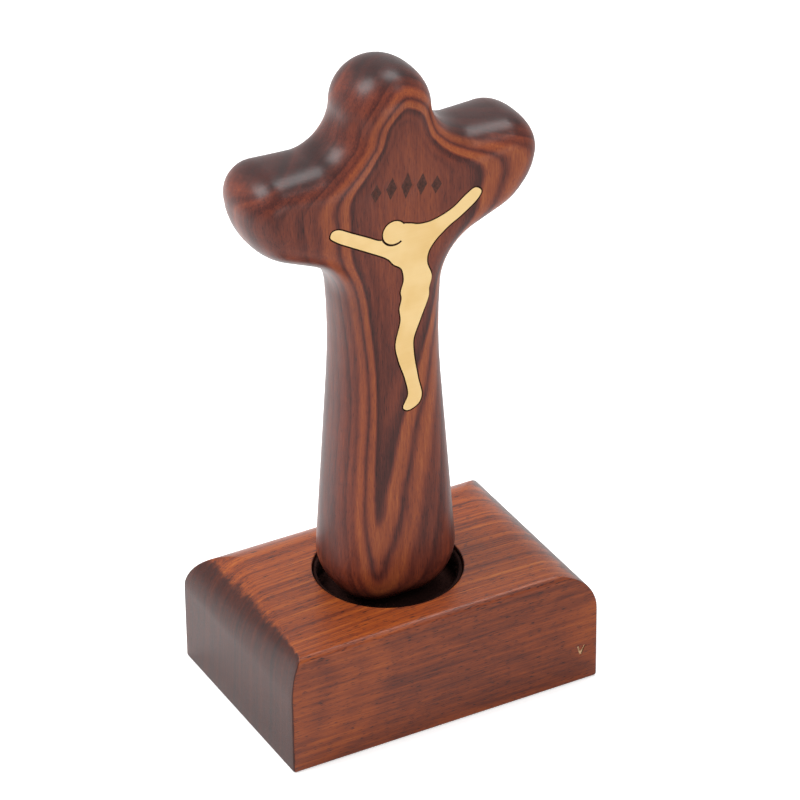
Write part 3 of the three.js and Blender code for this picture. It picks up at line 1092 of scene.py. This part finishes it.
@dataclass
class WoodenBlock:
    """The rectangular block: upper edges whose roundings differ, each given by its width and
    its height, and the recess."""

    wood: LacqueredTimber
    right_round: Pair = (11.0, 11.0)
    left_front_round: Pair = (3.0, 10.0)
    left_back_round: Pair = (10.0, 10.0)
    back_round: Pair = (10.6, 10.6)
    front_round: Pair = (1.8, 1.8)
    upright_round: float = 0.5
    least_upright_round: float = 0.3
    bottom_round: float = 0.6
    mouth_break: float = 0.4
    felt_gap: float = 0.3
    nick_place: Pair = (31.9, 7.6)
    nick_depth: float = 0.25
    sharp_from: float = 50.0
    foot_rings: int = 7
    wall_rings: int = 5
    crown_rings: int = 44
    top_shares: tuple[float, ...] = (0.02, 0.3, 0.7)
    mouth_rings: int = 5
    side_points: int = 36
    corner_points: int = 8

    def __post_init__(self) -> None:
        """Take the block's box and the recess's place from the frame."""
        low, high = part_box("base_block")
        self.low, self.high = np.array(low) / MM, np.array(high) / MM
        felt_low, felt_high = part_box("socket_lining_wall")
        self.recess_centre = (np.array(felt_low) + np.array(felt_high))[:2] / 2 / MM
        self.recess_radius = (felt_high.x - felt_low.x) / 2 / MM + self.felt_gap
        self.recess_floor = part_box("socket_lining_floor")[0].z / MM - self.felt_gap

    @staticmethod
    def _inset(below_top: float, width: float, height: float) -> float:
        """How far a rounded edge draws in at a depth below the top."""
        rise = max(0.0, 1 - below_top / height)
        return width * (1 - math.sqrt(max(0.0, 1 - rise * rise)))

    def section(self, z: float) -> np.ndarray:
        """Outline of the block at one height, counter-clockwise seen from above.

        Args:
            z: Height above the underside.

        Returns:
            Rows of x, y and z.
        """
        foot = self.bottom_round - math.sqrt(
            max(0.0, self.bottom_round**2 - max(0.0, self.bottom_round - z) ** 2)
        )
        lefts = (self.left_front_round, self.left_back_round)
        right, back, front, left_front, left_back = (
            self._inset(self.high[2] - z, *sizes)
            for sizes in (self.right_round, self.back_round, self.front_round, *lefts)
        )
        corners = [
            (self.high[0] - right, self.high[1] - back, max(right, back)),
            (self.low[0] + left_back, self.high[1] - back, max(left_back, back)),
            (self.low[0] + left_front, self.low[1] + front, max(left_front, front)),
            (self.high[0] - right, self.low[1] + front, max(right, front)),
        ]
        rows = []
        for quarter, (x, y, drawn_in) in enumerate(corners):
            start = 90 * quarter
            radius = max(self.least_upright_round, self.upright_round - drawn_in)
            turn = math.radians(start + 45)
            inwards = np.array([math.copysign(1, math.cos(turn)), math.copysign(1, math.sin(turn))])
            centre = np.array([x, y]) - inwards * (radius + foot)
            angles = np.radians(np.linspace(start, start + 90, self.corner_points))
            rows.append(centre + radius * np.column_stack([np.cos(angles), np.sin(angles)]))
        steps = np.linspace(0, 1, self.side_points)[1:-1, None]
        filled = []
        for here, following in zip(rows, [*rows[1:], rows[0]]):
            filled += [here, here[-1] + (following[0] - here[-1]) * steps]
        flat = np.vstack(filled)
        return np.column_stack([flat, np.full(len(flat), z)])

    def circle_like(self, ring: np.ndarray, radius: float, z: float) -> np.ndarray:
        """Circle round the recess with one point for each point of a ring, at the same bearing.

        Args:
            ring: The ring that it follows.
            radius: The circle's radius.
            z: Its height.

        Returns:
            Rows of x, y and z.
        """
        x, y = self.recess_centre
        bearing = np.arctan2(ring[:, 1] - y, ring[:, 0] - x)
        round_x, round_y = x + radius * np.cos(bearing), y + radius * np.sin(bearing)
        return np.column_stack([round_x, round_y, np.full(len(ring), z)])

    def nick(self) -> Piece:
        """Cutter for the small tick-shaped nick low on the front, which bares pale wood.

        Returns:
            The closed cutter, in the bare wood's material.
        """
        outline = np.array(NICK_POINTS) + self.nick_place
        front = self.low[1]
        depths = (front - OVERCUT, front + self.nick_depth)
        tool = upright_prism("nick_tool", outline, depths, np.zeros(3))
        bare = replace(self.wood, name="bare_wood_in_nick", tones=BARE_WOOD_TONES, coat=0.0)
        dress(tool, bare.build())
        return tool

    def rings(self) -> list[np.ndarray]:
        """Rings of points from under the block, up its sides, over its top and down the recess.

        Returns:
            The rings, each with the same number of points.
        """
        top, bore, lip = self.high[2], self.recess_radius, self.mouth_break
        reach = self.right_round[1]
        foot_turns, crown_turns, mouth_turns = (
            np.radians(np.linspace(0, 90, count))
            for count in (self.foot_rings, self.crown_rings, self.mouth_rings)
        )
        foot = [self.bottom_round * (1 - math.cos(turn)) for turn in foot_turns]
        walls = np.linspace(self.bottom_round, top - reach, self.wall_rings)[1:-1]
        crown = [top - reach + reach * math.sin(turn) for turn in crown_turns]
        rings = [self.section(z) for z in [*foot, *walls, *crown]]
        rim = rings[-1]
        mouth = self.circle_like(rim, bore + lip, top)
        rings += [rim + (mouth - rim) * share for share in self.top_shares]
        rings.append(self.circle_like(rim, bore + lip * 1.3, top))
        for turn in mouth_turns:
            radius = bore + lip * (1 - math.sin(turn))
            rings.append(self.circle_like(rim, radius, top - lip * (1 - math.cos(turn))))
        rings.append(self.circle_like(rim, bore, self.recess_floor))
        return rings

    def build(self) -> Piece:
        """Build the block from its rings, nick it and hand it to its body.

        Returns:
            The finished piece.
        """
        rings = self.rings()
        count = len(rings[0])
        middle = (self.low + self.high) / 2
        under = [middle[0], middle[1], self.low[2]]
        floor = [*self.recess_centre, self.recess_floor]
        faces = [tuple(reversed(face)) for face in ring_faces(len(rings), count, first=1)]
        last = 1 + (len(rings) - 1) * count
        for i in range(count):
            after = (i + 1) % count
            faces += [(0, 1 + after, 1 + i), (last + count, last + i, last + after)]
        piece = make_piece("wooden_block", np.vstack([[under], *rings, [floor]]), faces)
        dress(piece, self.wood.build())
        work(piece, self.nick(), Tooling.TAKE_OUT)
        piece.data.set_sharp_from_angle(angle=math.radians(self.sharp_from))
        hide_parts("base_block")
        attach(piece, Body.BASE.value)
        return piece


@dataclass
class SocketLining:
    """Felt glued into the recess: a strip round its wall and a disc on its floor, with nap."""

    felt: GluedFelt
    facets: int = 160
    edge_soft: float = 0.38
    wobble: float = 0.08
    pole_radius: float = 0.05
    floor_shares: tuple[float, ...] = (0.66, 0.33)
    glue_line: float = 0.18
    fibre_length: float = 0.9
    fibre_thickness: float = 0.035
    fibre_lean: float = 0.6
    fibre_shortest: float = 0.5
    fibre_longest: float = 1.2
    fibres_on_wall: int = 650
    fibres_on_floor: int = 520
    mouth_height: float = 40.0
    seed: int = 11

    def _turned(self, name: str, node: str, profile: Sequence[Pair]) -> Piece:
        """Body of revolution with a slightly uneven surface, in the place of a lining node.

        Args:
            name: The piece's name.
            node: The node whose middle it turns about.
            profile: Radius and height of each point of its section, all the way round.

        Returns:
            The closed body.
        """
        low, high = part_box(node)
        x, y, _ = (np.array(low) + np.array(high)) / 2 / MM
        angles = np.linspace(0, 2 * math.pi, self.facets, endpoint=False)
        rings = []
        for k, (radius, height) in enumerate(profile):
            uneven = self.wobble * np.sin(5 * angles + k) * np.sin(3 * angles)
            out = radius + (uneven if radius > 1 else 0.0)
            level = np.full(self.facets, height)
            ring = np.column_stack([x + out * np.cos(angles), y + out * np.sin(angles), level])
            rings.append(ring)
        around = ring_faces(len(profile), self.facets, closed=True)
        return make_piece(name, np.vstack(rings), [(a, d, c, b) for a, b, c, d in around])

    def _outside(self, outer: float, bottom: float, top: float) -> list[Pair]:
        """The outer side of a section, with soft edges.

        Args:
            outer: Its outer radius.
            bottom: Its lowest height.
            top: Its highest height.

        Returns:
            Radius and height of its points, from the lower edge to the upper one.
        """
        rim = outer - self.edge_soft
        low, high = bottom + self.edge_soft, top - self.edge_soft
        return [(rim, bottom), (outer, low), (outer, high), (rim, top)]

    def wall(self) -> Piece:
        """Build the strip round the wall, with soft upper and lower edges.

        Returns:
            The closed strip.
        """
        low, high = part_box("socket_lining_wall")
        floor_low, floor_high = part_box("socket_lining_floor")
        radius = (high.x - low.x) / 2 / MM
        inner = radius - (floor_high.z - floor_low.z) / MM + self.wobble
        bottom, top, soft = low.z / MM, high.z / MM, self.edge_soft
        outside = self._outside(radius + self.glue_line, bottom, top)
        inside = [(inner + soft, top), (inner, top - soft), (inner, bottom + soft)]
        profile = [(inner + soft, bottom), *outside, *inside]
        return self._turned("felt_wall", "socket_lining_wall", profile)

    def floor(self) -> Piece:
        """Build the disc on the floor, with soft edges and a tiny hole at its pole.

        Returns:
            The closed disc.
        """
        low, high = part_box("socket_lining_floor")
        outer = (high.x - low.x) / 2 / MM - self.wobble
        bottom, top, pole = low.z / MM, high.z / MM, self.pole_radius
        face = [(share * outer, top) for share in self.floor_shares]
        profile = [(pole, bottom), *self._outside(outer, bottom, top), *face, (pole, top)]
        return self._turned("felt_floor", "socket_lining_floor", profile)

    def _fibres(self, add: Add, given: Inputs) -> Node:
        """Scatter bent three-sided fibres over the faces that look towards the mouth.

        Args:
            add: Adds a node to the tree.
            given: The tree's inputs, by name.

        Returns:
            The node that places them.
        """
        to_mouth = {0: given["Mouth"], 1: add("GeometryNodeInputPosition")}
        upwards = add(VECTOR_MATH, to_mouth, operation="SUBTRACT")
        towards = {0: add("GeometryNodeInputNormal"), 1: upwards}
        facing = add(VECTOR_MATH, towards, operation="DOT_PRODUCT").outputs["Value"]
        more_than = {"data_type": "FLOAT", "operation": "GREATER_THAN"}
        ground = {
            "Mesh": add("GeometryNodeObjectInfo", {0: given["Ground"]}).outputs["Geometry"],
            "Selection": add("FunctionNodeCompare", {0: facing, 1: 0.0}, **more_than),
            "Density": given["Density"],
            "Seed": given["Seed"],
        }
        points = add("GeometryNodeDistributePointsOnFaces", ground)
        half = add(MATH, {0: given["Length"], 1: 0.5}, operation="MULTIPLY")
        middle = add("ShaderNodeCombineXYZ", {"X": half, "Z": half})
        tip = add("ShaderNodeCombineXYZ", {"X": given["Length"], "Z": half})
        bend = {"Resolution": 4, "Start": (0.0, 0.0, 0.0), "Middle": middle, "End": tip}
        section = {"Resolution": 3, "Radius": given["Thickness"]}
        strand = {
            "Curve": add("GeometryNodeCurveQuadraticBezier", bend),
            "Profile Curve": add("GeometryNodeCurvePrimitiveCircle", section),
            "Fill Caps": True,
        }
        lean = self.fibre_lean
        leans = {0: (-lean, -lean, 0.0), 1: (lean, lean, 2 * math.pi), "Seed": given["Seed"]}
        turn = {
            "Rotation": points.outputs["Rotation"],
            "Rotate By": add("FunctionNodeRandomValue", leans, data_type="FLOAT_VECTOR"),
        }
        sizes = {2: self.fibre_shortest, 3: self.fibre_longest, "Seed": given["Seed"]}
        placed = {
            "Points": points,
            "Instance": add("GeometryNodeCurveToMesh", strand),
            "Rotation": add("FunctionNodeRotateRotation", turn, rotation_space="LOCAL"),
            "Scale": add("FunctionNodeRandomValue", sizes, data_type="FLOAT").outputs[1],
        }
        return add("GeometryNodeInstanceOnPoints", placed)

    def nap(self, name: str, ground: Piece, count: int) -> Piece:
        """Loose fibres on the felt faces that show.

        Args:
            name: The new piece's name.
            ground: The felt that the fibres stand on.
            count: About how many fibres there are.

        Returns:
            The fibres as one plain mesh.
        """
        low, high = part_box("socket_lining_floor")
        mouth = (low + high) / 2
        mouth.z = self.mouth_height * MM
        shown = [p for p in ground.data.polygons if p.normal.dot(mouth - p.center) > 0]
        values = {
            "Ground": ground,
            "Mouth": mouth,
            "Density": count / sum(polygon.area for polygon in shown),
            "Length": self.fibre_length * MM,
            "Thickness": self.fibre_thickness * MM,
            "Seed": self.seed,
            "Material": ground.data.materials[0],
        }
        return scatter(name, self._fibres, values)

    def build(self) -> list[Piece]:
        """Build the lining and its nap and hand all of it to the base's body.

        Returns:
            The strip, its nap, the disc and its nap.
        """
        felt = self.felt.build()
        made = []
        for piece, node, count in (
            (self.wall(), "socket_lining_wall", self.fibres_on_wall),
            (self.floor(), "socket_lining_floor", self.fibres_on_floor),
        ):
            dress(piece, felt)
            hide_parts(node)
            made += [piece, self.nap(f"{piece.name}_nap", piece, count)]
        for piece in made:
            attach(piece, Body.BASE.value)
        return made


@dataclass(frozen=True)
class Softbox:
    """A soft rectangular lamp that points at the cross, in millimetres and watts."""

    name: str
    place: Place
    size: Pair
    power: float
    aim_height: float = 70.0

    def build(self) -> None:
        """Set the lamp up."""
        data = bpy.data.lights.new(self.name, "AREA")
        data.shape = "RECTANGLE"
        data.size, data.size_y = self.size[0] * MM, self.size[1] * MM
        data.energy = self.power
        lamp = bpy.data.objects.new(self.name, data)
        lamp.location = Vector(self.place) * MM
        aim = Vector((0.0, 0.0, self.aim_height * MM)) - lamp.location
        lamp.rotation_mode = "QUATERNION"
        lamp.rotation_quaternion = aim.to_track_quat("-Z", "Y")
        bpy.context.scene.collection.objects.link(lamp)


@dataclass(frozen=True)
class PaleFloor(Finish):
    """Matt pale floor: white to the camera, with the object's shadow kept, and dimmer on the
    front than behind where the object reflects it."""

    name: str = "matt_pale_floor"
    colour: str = "#F4F4F4"
    lift: float = 0.45
    backwards: Place = (-0.7, 0.7, 0.0)
    fade: Pair = (-100.0, 60.0)
    front_level: float = 0.58

    def surface(self, add: Add) -> Node:
        """Matt paint that glows a little for the camera.

        Args:
            add: Adds a node to the material.

        Returns:
            The shader.
        """
        path = add("ShaderNodeLightPath").outputs
        camera, glossy = path["Is Camera Ray"], path["Is Glossy Ray"]
        sides = {0: add("ShaderNodeTexCoord").outputs["Object"], 1: self.backwards}
        behind = add(VECTOR_MATH, sides, operation="DOT_PRODUCT").outputs["Value"]
        ends = limits("From", [end * MM for end in self.fade])
        ends |= limits("To", (self.front_level, 1.0))
        falloff = add(MAP_RANGE, {"Value": behind, **ends}, **SMOOTH)
        shown = add(MIX, {0: glossy, 2: 1.0, 3: falloff}, data_type="FLOAT")
        mixed = {0: shown, 6: (0.0, 0.0, 0.0, 1.0), 7: linear(self.colour)}
        colour = add(MIX, mixed, data_type="RGBA").outputs[2]
        seen = add(MATH, {0: camera, 1: glossy}, operation="MAXIMUM")
        lit = add(MATH, {0: seen, 1: shown}, operation="MULTIPLY")
        lift = add(MATH, {0: lit, 1: self.lift}, operation="MULTIPLY")
        paint = add("ShaderNodeBsdfDiffuse", {"Color": colour, "Roughness": 1.0})
        glow = add("ShaderNodeEmission", {"Strength": lift})
        return add("ShaderNodeAddShader", {0: paint, 1: glow})


@dataclass
class Studio:
    """Pale floor, soft lamps and the photograph's viewpoint. Reflections see the surroundings
    dimmer on the front than behind, as in front of a dark room."""

    azimuth: float = -28.418
    elevation: float = 31.215
    roll: float = -0.649
    distance: float = 915.7
    target: Place = (2.451, -0.885, 64.999)
    focal_pixels: float = 4504.5
    frame_pixels: float = 800.0
    sensor: float = 36.0
    clip: Pair = (0.05, 20.0)
    paint: PaleFloor = PaleFloor()
    floor_size: float = 2400.0
    world_lean: float = -0.5
    world_fade: Pair = (-0.25, 0.35)
    fill_level: float = 0.48
    lamps: tuple[Softbox, ...] = (
        Softbox("left_softbox", (-290.0, 110.0, 540.0), (260.0, 280.0), 2.6),
        Softbox("right_softbox", (190.0, 60.0, 620.0), (240.0, 260.0), 1.9),
        Softbox("front_fill", (60.0, -700.0, 95.0), (520.0, 170.0), 0.92),
        Softbox("edge_softbox", (230.0, -330.0, 600.0), (150.0, 190.0), 0.4),
    )

    def camera(self) -> None:
        """Place the camera at the photograph's viewpoint."""
        turn, tilt = math.radians(self.azimuth), math.radians(self.elevation)
        back = Vector(
            (math.sin(turn) * math.cos(tilt), -math.cos(turn) * math.cos(tilt), math.sin(tilt))
        )
        data = bpy.data.cameras.new("camera")
        data.sensor_width = self.sensor
        data.lens = self.focal_pixels * self.sensor / self.frame_pixels
        data.clip_start, data.clip_end = self.clip
        camera = bpy.data.objects.new("camera", data)
        camera.matrix_world = (
            Matrix.Translation((Vector(self.target) + back * self.distance) * MM)
            @ (-back).to_track_quat("-Z", "Y").to_matrix().to_4x4()
            @ Matrix.Rotation(math.radians(self.roll), 4, "Z")
        )
        bpy.context.scene.collection.objects.link(camera)
        bpy.context.scene.camera = camera

    def floor(self) -> None:
        """Lay the floor."""
        half = self.floor_size / 2
        corners = np.array([[-half, -half, 0], [half, -half, 0], [half, half, 0], [-half, half, 0]])
        floor = make_piece("floor", corners, [(0, 1, 2, 3)])
        dress(floor, self.paint.build())

    def world(self) -> None:
        """White surroundings to the camera and in reflections, dimmer there on the front."""
        world = bpy.data.worlds.new("studio")
        world.use_nodes = True
        bpy.context.scene.world = world
        world.node_tree.nodes.clear()
        add = partial(add_node, world.node_tree)
        path = add("ShaderNodeLightPath").outputs
        straight = {0: path["Is Camera Ray"], 1: path["Is Transmission Ray"]}
        seen = add(MATH, straight, operation="MAXIMUM")
        shown = add(MATH, {0: seen, 1: path["Is Glossy Ray"]}, operation="MAXIMUM")
        direction = add("ShaderNodeTexCoord").outputs["Generated"]
        parts = add("ShaderNodeSeparateXYZ", {"Vector": direction}).outputs
        lean = {0: parts["X"], 1: self.world_lean, 2: parts["Y"]}
        turned = add(MATH, lean, operation="MULTIPLY_ADD")
        ends = limits("From", self.world_fade) | limits("To", (self.paint.front_level, 1.0))
        behind = add(MAP_RANGE, {"Value": turned, **ends}, **SMOOTH)
        white = add(MATH, {0: seen, 1: behind}, operation="MAXIMUM")
        level = add(MIX, {0: shown, 2: self.fill_level, 3: white}, data_type="FLOAT")
        light = add("ShaderNodeBackground", {"Color": (1.0, 1.0, 1.0, 1.0), "Strength": level})
        add("ShaderNodeOutputWorld", {"Surface": light})

    def build(self) -> None:
        """Set up the camera, lamps, floor, world and colour management."""
        self.camera()
        self.floor()
        self.world()
        for lamp in self.lamps:
            lamp.build()
        bpy.context.scene.view_settings.view_transform = "Standard"


CROSS_WOOD = LacqueredTimber(
    name="lacquered_rosewood_upright",
    grain=Grain.UPRIGHT,
    figure=RingFigure(
        low=20.0,
        high=145.0,
        pith_path=(
            (22.0, -8.6, -24.0, 1.0), (31.0, -8.8, -22.1, 1.0), (37.0, -8.9, -21.2, 1.0),
            (44.5, -8.9, -20.15, 1.0), (54.0, -8.3, -19.7, 1.0), (69.0, -6.6, -18.9, 1.0),
            (86.0, -5.2, -17.4, 0.8), (102.0, -4.4, -15.4, 0.62), (114.0, -4.0, -14.4, 0.57),
            (122.5, -3.4, -14.9, 0.6), (129.5, -2.4, -16.4, 1.0), (135.0, -1.6, -18.4, 1.25),
            (141.0, -0.7, -22.4, 1.3),
        ),
        # Distance from the pith and tone: a dark inner V, a pale band, then finer rings outwards.
        # The rings at 11 and 12.2 mm are set paler partly as painted light, lightening the rounded
        # underside of the foot that the lamps leave dim
        ring_tones=(
            (0.0, 0.53), (5.5, 0.5), (7.2, 0.44), (8.0, 0.3), (8.4, 0.16), (8.65, 0.42),
            (8.9, 0.78), (9.6, 0.76), (10.1, 0.52), (10.4, 0.26), (11.0, 0.62), (12.2, 0.72),
            (13.3, 0.42), (14.2, 0.44), (14.9, 0.47), (15.4, 0.24), (16.2, 0.36), (18.2, 0.43),
            (19.4, 0.27), (21.0, 0.32), (22.8, 0.36), (23.8, 0.24), (25.4, 0.32), (27.8, 0.42),
            (29.0, 0.26), (30.5, 0.36), (34.0, 0.42), (36.0, 0.36),
        ),
        seed=3.1,
        skew=0.3,
        roundness=1.45,
        warp=1.3,
        band_gain=0.22,
        line_width=0.7,
        line_gain=0.12,
    ),
)

BASE_WOOD = LacqueredTimber(
    name="lacquered_rosewood_block",
    grain=Grain.ALONG_WIDTH,
    figure=RingFigure(
        low=-40.0,
        high=40.0,
        pith_path=((-38.0, -18.0, 90.0, 1.0), (0.0, -15.0, 92.0, 1.0), (38.0, -13.0, 91.0, 1.0)),
        ring_tones=((0.0, 0.56), (40.0, 0.56)),
        seed=7.7,
        band_width=2.2,
        band_gain=0.75,
        line_width=0.55,
        line_gain=0.5,
        reach=240.0,
    ),
    tones=("#2C1511", "#512318", "#7E391B", "#974A1E", "#B0662E"),
    end_tone="#7E6468",
    end_fade=(0.4, 0.66),
    end_ragged=0.55,
    fibres=(0.24, 6.0),
    pores=(0.2, 1.9),
    pore_gain=0.5,
    streak_gain=0.6,
    blotch_gain=0.25,
)


def main() -> None:
    """Build every piece in order and report it."""
    logging.basicConfig(level=logging.INFO, format="%(message)s")
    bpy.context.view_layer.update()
    cross = HoldingCross(wood=CROSS_WOOD, char_and_gap_shade=CharredCut())
    figure = BrassFigure(brass=SandedBrass(), cross=cross)
    pieces = [
        WoodenBlock(wood=BASE_WOOD).build(),
        *SocketLining(felt=GluedFelt()).build(),
        cross.build(figure),
        figure.build(),
    ]
    for piece in pieces:
        log.info("%s: %d faces", piece.name, len(piece.data.polygons))
    Studio().build()


if __name__ == "__main__":
    main()
